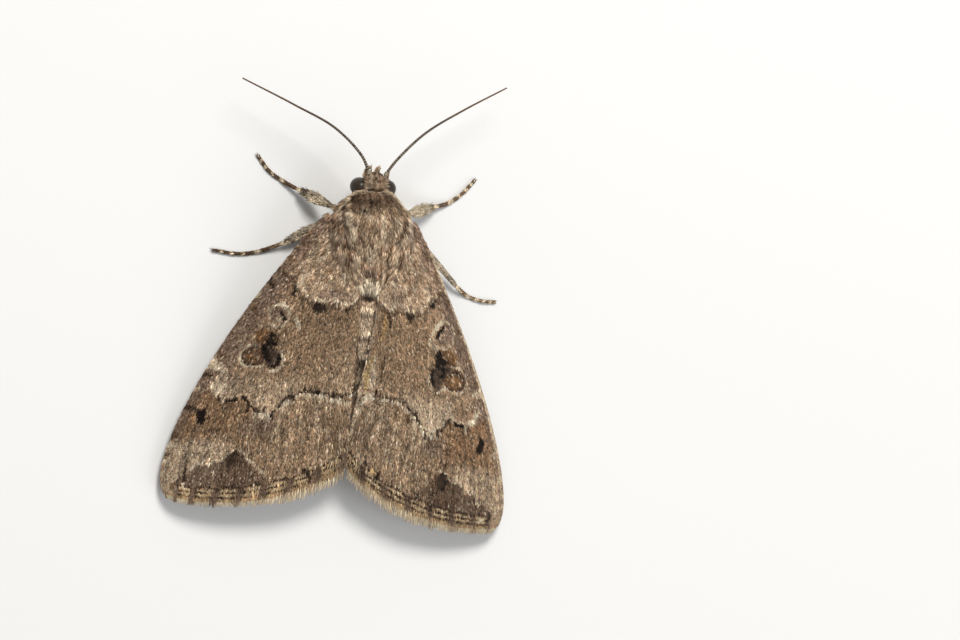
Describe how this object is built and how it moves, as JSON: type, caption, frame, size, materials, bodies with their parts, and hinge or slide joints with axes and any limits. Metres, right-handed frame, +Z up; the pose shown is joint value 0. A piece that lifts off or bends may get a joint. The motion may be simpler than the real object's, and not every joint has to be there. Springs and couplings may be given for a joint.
{
  "type": "owlet moth at rest",
  "caption": "Life-size owlet moth at rest, mottled brown forewings folded back as a low roof, feelers swept forward, standing on its legs.",
  "frame": {"origin": "middle of the moth's bounding box in plan, on the floor that its feet rest on", "axes": "+Y towards the head, +X to the moth's right, +Z up"},
  "size_m": [0.024, 0.0304, 0.0058],
  "materials": {
    "forewing_scales": "matt overlapping scales, grey-brown with dark and cream markings",
    "hindwing_scales": "matt pale grey-brown scales",
    "body_hair": "matt brown hair-scales in tufts",
    "leg_scales": "cream and dark brown banded scales",
    "feeler": "dark brown ringed horny thread",
    "eye": "dark glossy compound eye"
  },
  "bodies": {
    "root": {"abdomen": "body_hair", "antenna_left_base": "feeler", "antenna_left_tip": "feeler", "antenna_right_base": "feeler", "antenna_right_tip": "feeler", "eye_left": "eye", "eye_right": "eye", "forewing_left": "forewing_scales", "forewing_right": "forewing_scales", "head": "body_hair", "hindwing_left": "hindwing_scales", "hindwing_right": "hindwing_scales", "leg_front_left_femur": "leg_scales", "leg_front_left_tarsus": "leg_scales", "leg_front_left_tibia": "leg_scales", "leg_front_right_femur": "leg_scales", "leg_front_right_tarsus": "leg_scales", "leg_front_right_tibia": "leg_scales", "leg_hind_left_femur": "leg_scales", "leg_hind_left_tarsus": "leg_scales", "leg_hind_left_tibia": "leg_scales", "leg_hind_right_femur": "leg_scales", "leg_hind_right_tarsus": "leg_scales", "leg_hind_right_tibia": "leg_scales", "leg_mid_left_femur": "leg_scales", "leg_mid_left_tarsus": "leg_scales", "leg_mid_left_tibia": "leg_scales", "leg_mid_right_femur": "leg_scales", "leg_mid_right_tarsus": "leg_scales", "leg_mid_right_tibia": "leg_scales", "palp_left": "body_hair", "palp_right": "body_hair", "thorax": "body_hair"}
  },
  "joints": []
}
